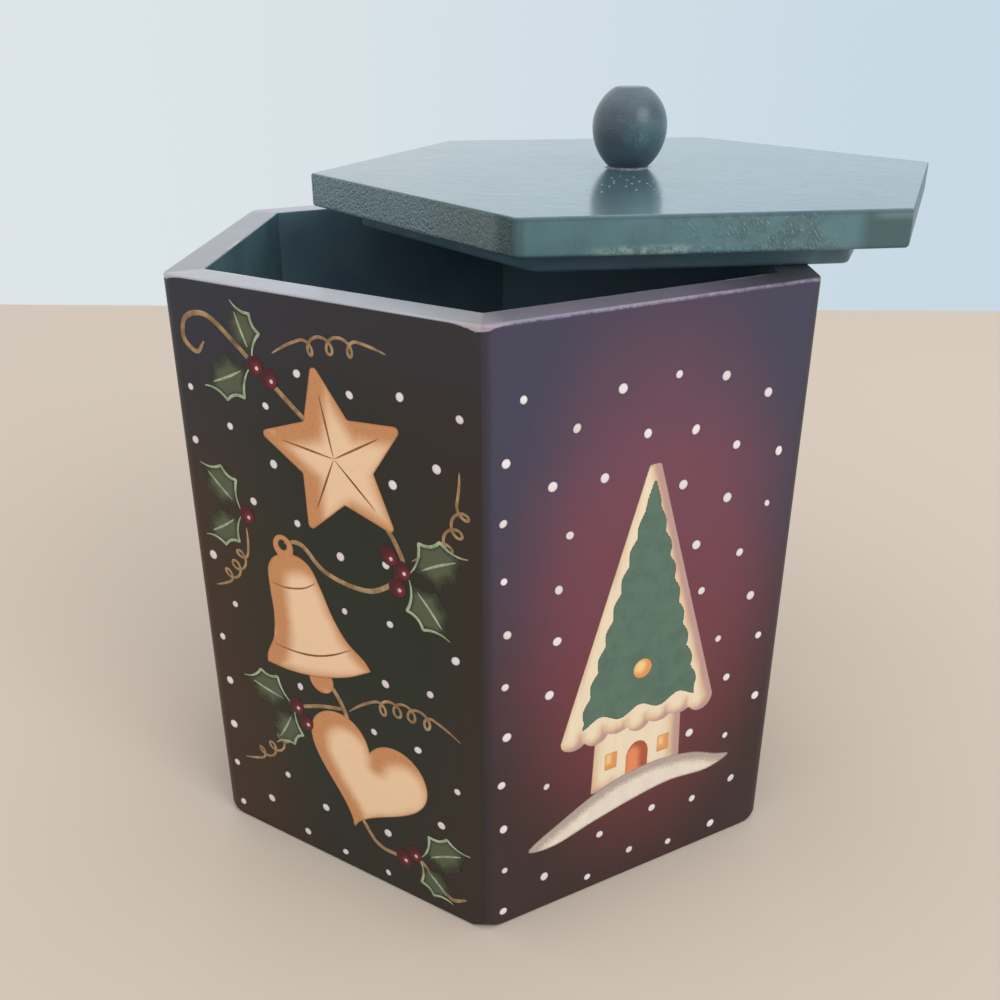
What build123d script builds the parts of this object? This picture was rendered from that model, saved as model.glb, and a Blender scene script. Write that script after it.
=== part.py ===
from build123d import *
import os
from math import cos, radians, sin, tan

# A six-sided wooden box with a loose lid, which lies askew on the rim.
# The origin is the middle of the underside, +Z is up and one upright corner faces -Y.

# Driving dimensions, in millimetres and degrees
# Box
panel_width = 94.0  # outside width of one side, from corner to corner
body_height = 168.0
wall = 9.5
bottom_thickness = 6.35
corner_radius = 5.0  # sanded upright corners of the box
rim_round = 0.7  # sanded outer edge of the rim
rim_tip_round = 3.0  # the six tips of the rim are rubbed round
rub_clear = 0.05  # keeps that rounding off the upright corners and the flat rim
mouth_round = 0.4  # inner edge of the rim
foot_round = 0.8  # outer edge round the foot

# Headless brads that hold the bottom board, under filler and paint
brad_radius = 0.6
brad_length = 19.0
brad_point = 0.4
brad_depth = 1.0  # from the painted face down to the brad's blunt end
brad_spacing = 50.0  # between the two brads of one side
brad_slack = 0.05

# Lid
overhang = 2.4  # how far the board would reach past the closed box
lid_board_thickness = 9.5
lid_insert_thickness = 6.35
mouth_clearance = 1.0  # between the insert and the walls, when the lid is on
board_corner_radius = 1.2
board_top_round = 0.8
board_foot_round = 1.0
insert_corner_radius = 3.0
insert_foot_round = 1.1
board_offset = 1.1  # the board was fixed this far off the insert's middle

# Where the loose lid lies
lid_shift_x = 39.5
lid_shift_y = 31.7
lid_turn = -20.6

# Knob and its screw
knob_radius = 11.2
knob_height = 23.0
knob_waist_height = 11.8  # of its widest ring
knob_foot_radius = 6.2
knob_foot_height = 0.5
knob_flat_radius = 4.6  # of the flat on its crown
knob_crown_round = 2.6
screw_length = 25.4
screw_radius = 2.1
screw_head_radius = 4.1
screw_head_angle = 82.0
screw_point = 1.5
screw_recess = 0.3  # the head lies this far inside the insert
screw_slack = 0.1
drive_width = 1.1
drive_length = 4.6
drive_depth = 1.2
pilot_spare = 0.8  # the blind hole in the knob goes this much deeper than the screw

# Values that follow from them
sides = 6
half_side_angle = 180.0 / sides
apothem = panel_width / 2 / tan(radians(half_side_angle))
inner_apothem = apothem - wall
board_apothem = apothem + overhang
insert_apothem = inner_apothem - mouth_clearance
insert_foot = body_height
board_foot = insert_foot + lid_insert_thickness
board_top = board_foot + lid_board_thickness
screw_foot = insert_foot + screw_recess
brad_in_wall = wall - brad_depth
brad_in_bottom = brad_length - brad_in_wall
corner_turn = 90.0  # turns a hexagon so that one corner faces -Y
tip_reach = (apothem - corner_radius) / cos(radians(half_side_angle)) + corner_radius


def corner_distance(flat_distance):
    """Distance from the axis to a corner, for a hexagon with its sides at flat_distance."""
    return flat_distance / cos(radians(half_side_angle))


def lid_plane(height):
    """Level plane through the lid's own axis, turned as the lid lies."""
    turn = radians(lid_turn)
    return Plane(
        origin=(lid_shift_x, lid_shift_y, height),
        x_dir=(cos(turn), sin(turn), 0),
        z_dir=(0, 0, 1),
    )


def brad_plane(facing):
    """Upright plane on the inner face of the side that looks along facing, +Z outwards."""
    out_x, out_y = cos(radians(facing)), sin(radians(facing))
    return Plane(
        origin=(inner_apothem * out_x, inner_apothem * out_y, bottom_thickness / 2),
        x_dir=(-out_y, out_x, 0),
        z_dir=(out_x, out_y, 0),
    )


side_names = {
    -60: "panel_front_right",
    0: "panel_right",
    60: "panel_back_right",
    120: "panel_back_left",
    180: "panel_left",
    240: "panel_front_left",
}

os.makedirs("parts", exist_ok=True)


def keep(piece, name):
    """Labels a finished piece and writes it as its own file."""
    piece.part.label = name
    export_step(piece.part, "parts/" + name + ".step")


# The six sides as one ring, which the mitres then divide
with BuildPart() as side_ring:
    with BuildSketch():
        RegularPolygon(corner_distance(apothem), sides, rotation=corner_turn)
        fillet(vertices(), corner_radius)
        RegularPolygon(corner_distance(inner_apothem), sides, rotation=corner_turn, mode=Mode.SUBTRACT)
    extrude(amount=body_height)
    fillet(side_ring.faces().sort_by(Axis.Z)[-1].outer_wire().edges(), rim_round)
    fillet(side_ring.faces().sort_by(Axis.Z)[-1].inner_wires()[0].edges(), mouth_round)
    fillet(side_ring.faces().sort_by(Axis.Z)[0].outer_wire().edges(), foot_round)
    with BuildSketch(Plane.XZ) as turned:
        Rectangle(tip_reach + rub_clear, body_height + rub_clear, align=(Align.MIN, Align.MIN))
        fillet(turned.vertices().group_by(Axis.Z)[-1].sort_by(Axis.X)[-1], rim_tip_round)
    revolve(axis=Axis.Z, mode=Mode.INTERSECT)


def side_panel(name, facing):
    """One side, cut from the ring at its two mitres, with blind holes for its brads."""
    reach = 2 * panel_width
    left, right = radians(facing - half_side_angle), radians(facing + half_side_angle)
    with BuildPart() as panel:
        add(side_ring.part)
        with BuildSketch():
            Polygon(
                (0, 0),
                (reach * cos(left), reach * sin(left)),
                (reach * cos(right), reach * sin(right)),
                align=None,
            )
        extrude(amount=body_height, mode=Mode.INTERSECT)
        with BuildSketch(brad_plane(facing)):
            with GridLocations(brad_spacing, 0, 2, 1):
                Circle(brad_radius + brad_slack)
        extrude(amount=brad_in_wall + brad_slack, mode=Mode.SUBTRACT)
    keep(panel, name)


for facing, name in side_names.items():
    side_panel(name, facing)

# Bottom board, let in between the sides
with BuildPart() as bottom_board:
    with BuildSketch():
        RegularPolygon(corner_distance(inner_apothem), sides, rotation=corner_turn)
    extrude(amount=bottom_thickness)
    for facing in side_names:
        with BuildSketch(brad_plane(facing)):
            with GridLocations(brad_spacing, 0, 2, 1):
                Circle(brad_radius + brad_slack)
        extrude(amount=-(brad_in_bottom + brad_slack), mode=Mode.SUBTRACT)
keep(bottom_board, "bottom_board")

# Brads through the foot of each side into the edge of the bottom board
with BuildPart() as bottom_brads:
    for facing in side_names:
        with BuildSketch(brad_plane(facing).offset(-brad_in_bottom)):
            with GridLocations(brad_spacing, 0, 2, 1):
                Circle(brad_radius)
        extrude(amount=brad_length)
    points = ShapeList(
        edge
        for edge in bottom_brads.edges().filter_by(GeomType.CIRCLE)
        if Vector(edge.arc_center.X, edge.arc_center.Y).length < inner_apothem
    )
    chamfer(points, brad_point)
keep(bottom_brads, "bottom_brads")

# Upper board of the lid
with BuildPart() as lid_board:
    with BuildSketch(lid_plane(board_foot)):
        with Locations((board_offset, 0)):
            RegularPolygon(corner_distance(board_apothem), sides, rotation=corner_turn)
        fillet(vertices(), board_corner_radius)
    extrude(amount=lid_board_thickness)
    fillet(lid_board.faces().sort_by(Axis.Z)[-1].edges(), board_top_round)
    fillet(lid_board.faces().sort_by(Axis.Z)[0].edges(), board_foot_round)
    with BuildSketch(lid_plane(board_foot)):
        Circle(screw_radius + screw_slack)
    extrude(amount=lid_board_thickness, mode=Mode.SUBTRACT)
keep(lid_board, "lid_board")

# Insert under the board, which fills the mouth when the lid is on
with BuildPart() as lid_insert:
    with BuildSketch(lid_plane(insert_foot)):
        RegularPolygon(corner_distance(insert_apothem), sides, rotation=corner_turn)
        fillet(vertices(), insert_corner_radius)
    extrude(amount=lid_insert_thickness)
    fillet(lid_insert.faces().sort_by(Axis.Z)[0].edges(), insert_foot_round)
    under = Plane(origin=(lid_shift_x, lid_shift_y, insert_foot), z_dir=(0, 0, -1))
    half_head_angle = radians(screw_head_angle / 2)
    with Locations(under):
        CounterSinkHole(
            radius=screw_radius + screw_slack,
            counter_sink_radius=screw_head_radius + screw_slack + screw_recess * tan(half_head_angle),
            depth=lid_insert_thickness,
            counter_sink_angle=screw_head_angle,
        )
keep(lid_insert, "lid_insert")

# Ball knob with a flat crown, on a short straight foot
knob_plane = Plane(origin=(lid_shift_x, lid_shift_y, board_top), x_dir=(1, 0, 0), z_dir=(0, -1, 0))
with BuildPart() as knob:
    with BuildSketch(knob_plane):
        with BuildLine():
            waist = (knob_radius, knob_waist_height)
            lower = TangentArc(waist, (knob_foot_radius, knob_foot_height), tangent=(0, -1))
            upper = TangentArc(waist, (knob_flat_radius, knob_height), tangent=(0, 1))
            Polyline(upper @ 1, (0, knob_height), (0, 0), (knob_foot_radius, 0), lower @ 1)
        make_face()
    revolve(axis=Axis((lid_shift_x, lid_shift_y, 0), (0, 0, 1)))
    fillet(knob.faces().sort_by(Axis.Z)[-1].edges(), knob_crown_round)
    pilot_depth = screw_foot + screw_length - board_top + pilot_spare
    with BuildSketch(lid_plane(board_top)):
        Circle(screw_radius + screw_slack)
    extrude(amount=pilot_depth, mode=Mode.SUBTRACT)
keep(knob, "knob")

# Countersunk screw, up through the insert and the board into the knob
with BuildPart() as knob_screw:
    with BuildSketch(lid_plane(screw_foot)):
        Circle(screw_radius)
    extrude(amount=screw_length)
    chamfer(knob_screw.edges().filter_by(GeomType.CIRCLE).sort_by(Axis.Z)[-1], screw_point, screw_point / 2)
    head_height = (screw_head_radius - screw_radius) / tan(half_head_angle)
    with BuildSketch(lid_plane(screw_foot)):
        Circle(screw_head_radius)
    with BuildSketch(lid_plane(screw_foot + head_height)):
        Circle(screw_radius)
    loft()
    with BuildSketch(lid_plane(screw_foot)):
        Rectangle(drive_length, drive_width)
        Rectangle(drive_width, drive_length)
    extrude(amount=drive_depth, mode=Mode.SUBTRACT)
keep(knob_screw, "knob_screw")
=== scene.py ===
from math import cos, hypot, pi, radians, sin, tan

import bmesh
import bpy
import numpy as np
from mathutils import Matrix, Vector


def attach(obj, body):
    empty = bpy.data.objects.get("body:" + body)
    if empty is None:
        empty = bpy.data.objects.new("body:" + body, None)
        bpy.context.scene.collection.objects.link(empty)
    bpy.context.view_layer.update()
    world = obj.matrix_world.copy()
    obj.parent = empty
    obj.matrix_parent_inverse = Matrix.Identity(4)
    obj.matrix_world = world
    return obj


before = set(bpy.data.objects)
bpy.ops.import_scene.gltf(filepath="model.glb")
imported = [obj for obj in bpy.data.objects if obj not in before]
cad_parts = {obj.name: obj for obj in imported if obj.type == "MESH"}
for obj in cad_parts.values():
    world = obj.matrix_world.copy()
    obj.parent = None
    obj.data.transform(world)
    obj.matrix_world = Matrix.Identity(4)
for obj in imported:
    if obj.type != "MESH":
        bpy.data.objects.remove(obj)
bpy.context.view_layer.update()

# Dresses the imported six-sided box and its loose lid: paint and wear on every board, and on the six sides
# the painted ornament and snow. All lengths are in millimetres. Those of the ornament lie on a side's own
# flat: across from its middle, up from the foot and out from its face.

mm = 0.001
print("frame loaded:", len(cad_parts), "CAD nodes")


# Wiring of materials, of the world and of Geometry Nodes

class Wire:
    # a socket that can be used in sums: every operator adds its Math node
    def __init__(self, bench, socket):
        self.bench = bench
        self.socket = socket

    def maths(self, operation, first, second=0.0):
        return self.bench.node("ShaderNodeMath", {"operation": operation}, {0: first, 1: second})

    def __add__(self, other):
        return self.maths("ADD", self, other)

    def __sub__(self, other):
        return self.maths("SUBTRACT", self, other)

    def __rsub__(self, other):
        return self.maths("SUBTRACT", other, self)

    def __mul__(self, other):
        return self.maths("MULTIPLY", self, other)

    def __truediv__(self, other):
        return self.maths("DIVIDE", self, other)

    def __rtruediv__(self, other):
        return self.maths("DIVIDE", other, self)

    def __pow__(self, other):
        return self.maths("POWER", self, other)

    def __abs__(self):
        return self.maths("ABSOLUTE", self)

    def lower(self, other):
        return self.maths("MINIMUM", self, other)

    def upper(self, other):
        return self.maths("MAXIMUM", self, other)

    def rise(self, low, high):
        # 0 below low, 1 above high and a smooth step between; falls where low is the higher one
        steps = {0: self, 1: low, 2: high, 3: 0.0, 4: 1.0}
        return self.bench.node("ShaderNodeMapRange", {"interpolation_type": "SMOOTHSTEP"}, steps)

    __radd__ = __add__
    __rmul__ = __mul__


class Bench:
    # one node tree that is being wired, and its material if it has one
    def __init__(self, tree, material=None):
        self.tree = tree
        self.material = material

    def node(self, kind, settings=None, inputs=None, output=0):
        made = self.tree.nodes.new(kind)
        for name, value in (settings or {}).items():
            setattr(made, name, value)
        for name, value in (inputs or {}).items():
            if isinstance(value, Wire):
                self.tree.links.new(value.socket, made.inputs[name])
            else:
                made.inputs[name].default_value = value
        if made.outputs:
            return Wire(self, made.outputs[output])

    def blend(self, share, first, second):
        return self.node("ShaderNodeMix", {"data_type": "RGBA"}, {0: share, 6: first, 7: second}, 2)

    def layered(self, shade, *coats):
        # colours laid over a shade one after the other, each by its own share
        for share, coat in coats:
            shade = self.blend(share, shade, coat)
        return shade

    def dot(self, vector, direction):
        return self.node("ShaderNodeVectorMath", {"operation": "DOT_PRODUCT"}, {0: vector, 1: direction}, 1)

    def joined(self, x, y, z=0.0):
        return self.node("ShaderNodeCombineXYZ", None, {0: x, 1: y, 2: z})

    def here(self):
        # the place on the object in millimetres
        place = self.node("ShaderNodeTexCoord", None, None, "Object")
        return self.node("ShaderNodeVectorMath", {"operation": "SCALE"}, {0: place, 3: 1 / mm})

    def kept(self, name):
        # a value that the mesh carries
        return self.node("ShaderNodeAttribute", {"attribute_name": name}, None, "Fac")

    def named(self, name):
        # the same in Geometry Nodes
        return self.node("GeometryNodeInputNamedAttribute", {"data_type": "FLOAT"}, {"Name": name})

    def stored(self, geometry, name, value, domain="POINT"):
        inputs = {"Geometry": geometry, "Name": name, "Value": value}
        return self.node("GeometryNodeStoreNamedAttribute", {"domain": domain}, inputs)

    def noise(self, vector, scale, detail=2.0, roughness=0.5, stretch=None, turn=0.0):
        if stretch:
            # stretch is how many times longer the pattern gets along each of its own, turned, axes
            inputs = {"Vector": vector, "Rotation": (0, 0, turn), "Scale": stretch}
            vector = self.node("ShaderNodeMapping", {"vector_type": "TEXTURE"}, inputs)
        inputs = {"Vector": vector, "Scale": scale, "Detail": detail, "Roughness": roughness}
        return self.node("ShaderNodeTexNoise", None, inputs)

    def bump(self, *layers):
        # each layer is a height from 0 to 1 and how many millimetres that is
        normal = None
        for height, depth in layers:
            inputs = {"Strength": 1.0, "Distance": depth * mm, "Height": height}
            if normal:
                inputs["Normal"] = normal
            normal = self.node("ShaderNodeBump", None, inputs)
        return normal

    def finish(self, colour, roughness, normal, alpha=None, ior=1.33, coat=None, coatRoughness=0.14):
        inputs = {"Base Color": colour, "Roughness": roughness, "IOR": ior, "Normal": normal}
        if alpha:
            inputs["Alpha"] = alpha
        if coat:
            inputs.update({"Coat Weight": coat, "Coat Roughness": coatRoughness})
        return self.close(inputs)

    def close(self, inputs):
        shader = self.node("ShaderNodeBsdfPrincipled", None, inputs)
        self.node("ShaderNodeOutputMaterial", None, {"Surface": shader})
        return self.material


def colour(red, green, blue):
    # a shade as it is read off a screen, 0 to 255, turned linear
    def straight(value):
        value = value / 255
        return value / 12.92 if value <= 0.04045 else ((value + 0.055) / 1.055) ** 2.4

    return (straight(red), straight(green), straight(blue), 1.0)


def newPaint(name):
    material = bpy.data.materials.new(name)
    material.use_nodes = True
    material.node_tree.nodes.clear()
    return Bench(material.node_tree, material)


def dress(node, material):
    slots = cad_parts[node].data.materials
    slots.clear()
    slots.append(material)


def addObject(name, data):
    item = bpy.data.objects.new(name, data)
    bpy.context.scene.collection.objects.link(item)
    return item


def addPiece(name, mesh, material):
    mesh.materials.clear()
    mesh.materials.append(material)
    return addObject(name, mesh)


# The boards of the box

box = {
    "width": 94.0,  # of one side, from corner to corner
    "height": 168.0,
    "wall": 9.5,
    "tipReach": 93.28,  # from the axis to the outside of the rubbed tips of the rim
    "tipRound": 3.0,
    "greenSides": {"panel_front_left": 240, "panel_right": 0, "panel_back_left": 120},
    "burgundySides": {"panel_front_right": -60, "panel_back_right": 60, "panel_left": 180},
}
box["apothem"] = box["width"] / 2 / tan(radians(30))

sideGreen = {
    "middle": colour(37, 43, 34),
    "edge": colour(51, 42, 36),
    "haze": colour(49, 51, 62),
    "rust": colour(70, 45, 24),
}
sideBurgundy = {
    "low": colour(110, 54, 58),
    "high": colour(115, 70, 88),
    "edgeLow": colour(60, 44, 43),
    # slate blue, partly a painted sheen
    "edgeHigh": colour(66, 65, 85),
    "corner": colour(50, 44, 50),
}
rim = {
    # dusty paint of the rim on each kind of side; the green sides' is paler, as it also holds a painted
    # reflection of bright surroundings
    "green": colour(174, 173, 181),
    "burgundy": colour(134, 126, 140),
    "cloud": colour(98, 92, 104),
    "tip": colour(174, 160, 164),
    # the pale line on the burgundy rim, partly wear and partly a painted highlight
    "line": colour(153, 143, 166),
    # painted shadow of the lid on the rim
    "paintedLidShadow": colour(74, 66, 80),
    "chip": colour(222, 216, 214),
    "bare": colour(246, 241, 236),
    # where along each side its inner edge is chipped, from the side's middle
    "chippedAt": {"panel_left": 11, "panel_front_left": -31, "panel_right": -8, "panel_back_right": 12,
                  "panel_back_left": 24, "panel_front_right": 30},
}
inside = {
    # the same paint on all inner faces; its green and burgundy copies differ as painted light, the dark
    # ones are stains
    "green": colour(98, 127, 138),
    "greenDark": colour(88, 112, 128),
    "burgundy": colour(86, 119, 124),
    "burgundyDark": colour(76, 104, 114),
    # painted fill light, laid deep down and towards the right
    "deep": colour(142, 162, 182),
    "right": colour(128, 144, 164),
}
underside = {
    "wood": colour(150, 122, 92),
    "woodDark": colour(118, 92, 66),
}


def alongSide(bench, point, facing):
    # across and out on the side that looks along facing
    turn = radians(facing)
    return bench.dot(point, (-sin(turn), cos(turn), 0)), bench.dot(point, (cos(turn), sin(turn), 0))


def greenGround(bench, point, across, up):
    # green-black in the middle, sprayed browner towards the edges and greyer at the top
    far = ((across / 43) ** 2 + ((up - 80) / 86) ** 2) ** 0.5
    cloud = bench.noise(point, 0.035, 3)
    leftwards = 0 - across
    hazy = leftwards.rise(-8, 42) * up.rise(90, 145) * 0.5 + up.rise(132, 166) * 0.6
    return bench.layered(
        sideGreen["middle"],
        ((far + cloud * 0.3).rise(0.7, 1.3), sideGreen["edge"]),
        (leftwards.rise(0, 47) * up.rise(150, 112) * 0.6, sideGreen["rust"]),
        (hazy.lower(1.0), sideGreen["haze"]),
    )


def burgundyGround(bench, point, across, up):
    # burgundy in the middle, sprayed slate blue above, which also stands in for a painted sheen, and brown
    # below
    far = (((across - 1.6) / 49.5) ** 2 + ((up - 86) / 90) ** 2) ** 0.5
    cloud = bench.noise(point, 0.03, 3)
    level = (up + cloud * 30).rise(45, 165)
    edge = bench.blend(level, sideBurgundy["edgeLow"], sideBurgundy["edgeHigh"])
    return bench.layered(
        bench.blend(level, sideBurgundy["low"], sideBurgundy["high"]),
        ((far + cloud * 0.2).rise(0.5, 1.18), edge),
        (abs(across).rise(43.8, 46.2) * 0.7, sideBurgundy["corner"]),
    )


def sidePaint(name, facing, ground, kind):
    bench = newPaint(kind + " " + name)
    point = bench.here()
    across, out = alongSide(bench, point, facing)
    up = bench.dot(point, (0, 0, 1))
    right = bench.dot(point, (1, 0, 0))
    face, inner, top = box["apothem"], box["apothem"] - box["wall"], box["height"]
    streak = bench.noise(point, 0.8, 3, 0.6)
    crumbs = bench.noise(point, 1.5, 4, 0.7)
    cloud = bench.noise(point, 0.09, 3)

    # the rim, dry and dusty, with a painted shadow where the lid hangs over it
    worn = (across if kind == "green" else 0 - across).rise(38, 45)
    beyond = (across ** 2 + out ** 2) ** 0.5 - (box["tipReach"] - box["tipRound"])
    beyond = beyond.upper(0.0).lower(box["tipRound"] * 0.92)
    level = up + (box["tipRound"] - (box["tipRound"] ** 2 - beyond ** 2) ** 0.5) * 0.45
    rimTop = (level + worn * streak * 0.5).rise(top - 0.5, top - 0.2)
    # painted shadow of the lid: darker towards the right, where the lid hangs over the rim
    lidShadow = right.rise(38, 73)
    rimShade = bench.layered(
        rim[kind],
        (cloud.rise(0.3, 0.7) * 0.12, rim["cloud"]),
        (worn * 0.6, rim["tip"]),
        (lidShadow * 0.9, rim["paintedLidShadow"]),
    )
    shade = bench.blend(rimTop, ground(bench, point, across, up), rimShade)

    # a pale line along its outer edge, partly where the burgundy was rubbed through and partly a painted
    # edge highlight
    if kind == "burgundy":
        line = up.rise(top - 0.95, top - 0.5) * out.rise(face - 0.85, face - 0.4)
        broken = streak.rise(0.38, 0.6) * 0.4 + cloud.rise(0.4, 0.6) * 0.2 + crumbs.rise(0.5, 0.6) * 0.2
        shade = bench.blend(line * (broken + 0.06), shade, rim["line"])

    # chips along the mouth, knocks at the corners and scuffs at the foot
    mouth = rimTop * out.rise(inner + 1.3, inner + 0.4)
    bare = mouth * abs(across - rim["chippedAt"][name]).rise(8.0, 3.5) * crumbs.rise(0.46, 0.52)
    knock = up.rise(top - 3.0, top - 0.4) * abs(across).rise(44.2, 45.6) * crumbs.rise(0.6, 0.66)
    chipped = mouth * cloud.rise(0.44, 0.52) * crumbs.rise(0.53, 0.58) + knock * 0.8
    scuff = up.rise(1.4, 0.3) * abs(across).rise(38, 46) * crumbs.rise(0.52, 0.6) * 0.35

    # the inner face, with painted light: paler in its depth and towards the right, where the lid's shade
    # falls
    within = out.rise(inner + 0.35, inner + 0.1)
    stain = bench.noise(point, 0.06, 4, 0.6)
    innerShade = bench.layered(
        inside[kind],
        (stain.rise(0.35, 0.7), inside[kind + "Dark"]),
        (up.rise(160, 104) * 0.9, inside["deep"]),
        (right.rise(-10, 60) * 0.55, inside["right"]),
    )
    shade = bench.layered(
        shade,
        ((chipped + scuff).lower(0.9), rim["chip"]),
        (bare * 0.9, rim["bare"]),
        (within, innerShade),
    )

    # faint upright wood grain under the paint
    grain = bench.noise(point, 1.0, 4, 0.6, stretch=(0.9, 0.9, 20))
    fine = bench.noise(point, 2.6, 3, 0.6)
    normal = bench.bump((grain, 0.045), (fine, 0.012), (1 - chipped, 0.12))
    roughness = 0.42 - rimTop * 0.14 + stain.rise(0.3, 0.7) * 0.05 - within * 0.04
    coat = rimTop * (0.9 - lidShadow * 0.6)
    return bench.finish(shade, roughness, normal, coat=coat, coatRoughness=0.2)


def bottomPaint():
    bench = newPaint("bottom board paint")
    point = bench.here()
    stain = bench.noise(point, 0.05, 4, 0.6)
    grain = bench.noise(point, 1.0, 4, 0.6, stretch=(16, 0.8, 0.8))
    under = bench.dot(point, (0, 0, 1)).rise(1.0, 0.3)
    shade = bench.layered(
        inside["burgundy"],
        (stain.rise(0.35, 0.7), inside["burgundyDark"]),
        (under * 0.85, bench.blend(grain.rise(0.35, 0.7), underside["wood"], underside["woodDark"])),
    )
    return bench.finish(shade, 0.45 + grain * 0.1, bench.bump((grain, 0.07)))


for kind, ground in (("green", greenGround), ("burgundy", burgundyGround)):
    for node, facing in box[kind + "Sides"].items():
        dress(node, sidePaint(node, facing, ground, kind))
dress("bottom_board", bottomPaint())
print("box painted")


# The lid

lid = {
    "middle": (40.53, 31.31),  # of the board
    "axis": (39.5, 31.7),  # of the insert and the knob
    "turn": -20.6,
    "apothem": 83.81,
    "boardFoot": 174.35,
    "boardTop": 183.85,
    "top": colour(94, 128, 138),
    "topDark": colour(88, 120, 130),
    "grime": colour(118, 140, 148),
    "edge": colour(84, 121, 127),
    "edgeDark": colour(66, 92, 94),
    "edgePale": colour(152, 177, 184),
    "scrape": colour(148, 170, 164),
    "darkEnd": colour(60, 86, 90),
    # painted highlight
    "cornerHighlight": colour(140, 166, 180),
    "gap": colour(119, 143, 152),
    "brown": colour(82, 96, 90),
    "brownPale": colour(120, 134, 128),
    "band": colour(59, 84, 84),
    "bandBlue": colour(59, 84, 86),
    "thin": colour(58, 80, 84),
    "insert": colour(98, 125, 140),
    "insertDark": colour(84, 109, 124),
}
knob = {
    "paint": colour(70, 88, 98),
    "dark": colour(60, 74, 86),
    "grain": colour(96, 116, 126),
    "turned": colour(120, 142, 152),
    "crown": colour(124, 146, 154),
    "teal": colour(66, 112, 120),
    "chip": colour(190, 196, 192),
}
steel = {
    "screw": colour(178, 176, 170),
    "brad": colour(150, 152, 155),
    "scratch": colour(120, 122, 124),
}


def lidPlace(bench, middle):
    # the place on the lid's own axes
    inputs = {"Vector": bench.here(), "Location": (*middle, 0), "Rotation": (0, 0, radians(lid["turn"]))}
    return bench.node("ShaderNodeMapping", {"vector_type": "TEXTURE"}, inputs)


def lidBoardPaint():
    bench = newPaint("lid board paint")
    point = lidPlace(bench, lid["middle"])
    up = bench.dot(point, (0, 0, 1))
    foot, top, reach = lid["boardFoot"], lid["boardTop"], lid["apothem"]
    cloud = bench.noise(point, 0.04, 3)
    grime = bench.noise(point, 0.7, 3, 0.6, stretch=(6, 0.8, 1))
    topShade = bench.layered(
        lid["top"],
        (cloud.rise(0.35, 0.65), lid["topDark"]),
        (grime.rise(0.5, 0.7) * 0.3, lid["grime"]),
    )

    # the front and back edges are long grain, with the slanting strokes of a dry brush
    across, out = alongSide(bench, point, -60)
    longGrain = abs(out).rise(reach - 1.6, reach - 0.9)
    flat = bench.joined(across, up)
    strokes = bench.noise(flat, 1.5, 3, 0.65, stretch=(0.7, 2.0, 1.0), turn=radians(38))
    patches = bench.noise(flat, 0.11, 3, 0.6).rise(0.4, 0.68)
    rough = across.rise(-16, 4) * across.rise(34, 22) * bench.noise(flat, 0.2, 2).rise(0.35, 0.6)
    furrows = strokes.rise(0.62, 0.34)
    scraped = up.rise(foot + 3.0, foot + 1.5) * bench.noise(point, 0.35, 4, 0.7).rise(0.4, 0.55)
    # a painted highlight near the top of one end of each long edge
    paintedHighlight = across.rise(36.5, 42) * up.rise(top - 3.0, top - 1.3)
    side = bench.layered(
        lid["edge"],
        (patches * (0.3 + furrows * 0.15) + rough * (0.1 + furrows * 0.35), lid["edgeDark"]),
        (strokes.rise(0.54, 0.7) * (0.08 + rough * 0.55), lid["edgePale"]),
        (scraped * across.rise(-2, -10) * across.rise(-34, -24) * 0.7, lid["scrape"]),
        (across.rise(33.5, 38.5) * 0.85, lid["darkEnd"]),
        (paintedHighlight * 0.3, lid["cornerHighlight"]),
        (across.rise(-45.5, -47.3) * 0.6, lid["bandBlue"]),
    )

    # the others are end grain: pebbled, and browner and smoother towards the front corner
    pebble = bench.noise(point, 1.45, 2, 0.5)
    sandy, outer = alongSide(bench, point, -120)
    brown = sandy.rise(-6, 34) * outer.rise(reach - 1.6, reach - 0.9)
    slant = bench.noise(bench.joined(sandy, up), 1.3, 3, 0.6, stretch=(0.6, 2.6, 1.0), turn=radians(52))
    end = bench.layered(
        lid["gap"],
        (0.2 + pebble.rise(0.42, 0.66) * 0.5, lid["edgePale"]),
        (brown * 0.7, bench.blend(slant.rise(0.35, 0.7), lid["brown"], lid["brownPale"])),
        (sandy.rise(39, 43) * brown * 0.75, lid["band"]),
    )

    # the paint is thin and dark along the upper edge, and broken on the end grain
    thin = (longGrain * 0.55).upper(pebble.rise(0.54, 0.44) * 0.5 - longGrain)
    onTop = up.rise(top - 0.4, top - 0.1)
    shade = bench.layered(
        end,
        (longGrain, side),
        (up.rise(top - 1.2, top - 0.7) * thin, lid["thin"]),
        (onTop, topShade),
    )

    edgeOnly = 1 - onTop
    fleck = bench.noise(point, 2.4, 4, 0.65)
    scratch = bench.noise(point, 0.9, 3, 0.7, stretch=(2.2, 0.6, 1)).rise(0.64, 0.7) * onTop
    brushed = strokes * longGrain * (0.06 + rough) + slant * (1 - longGrain) * brown * 0.7
    normal = bench.bump(
        (bench.noise(point, 0.5, 2), 0.045),
        (1 - scratch, 0.05),
        (pebble * edgeOnly * (1 - longGrain) * (1 - brown * 0.6), 1.75),
        (brushed * edgeOnly, 0.4),
        (fleck, 0.014),
    )
    gloss = 0.78 + grime.rise(0.38, 0.62) * 0.14 + fleck.rise(0.4, 0.6) * 0.1
    roughness = 0.48 - onTop * 0.3 + cloud * 0.04
    return bench.finish(shade, roughness, normal, ior=1.5, coat=onTop * gloss - scratch * 0.3)


def insertPaint():
    bench = newPaint("lid insert paint")
    point = lidPlace(bench, lid["axis"])
    cloud = bench.noise(point, 0.08, 4, 0.6)
    grain = bench.noise(point, 1.0, 4, 0.6, stretch=(20, 0.9, 0.9))
    shade = bench.blend(cloud.rise(0.3, 0.7), lid["insert"], lid["insertDark"])
    return bench.finish(shade, 0.36 + cloud * 0.1, bench.bump((grain, 0.05)))


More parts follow.
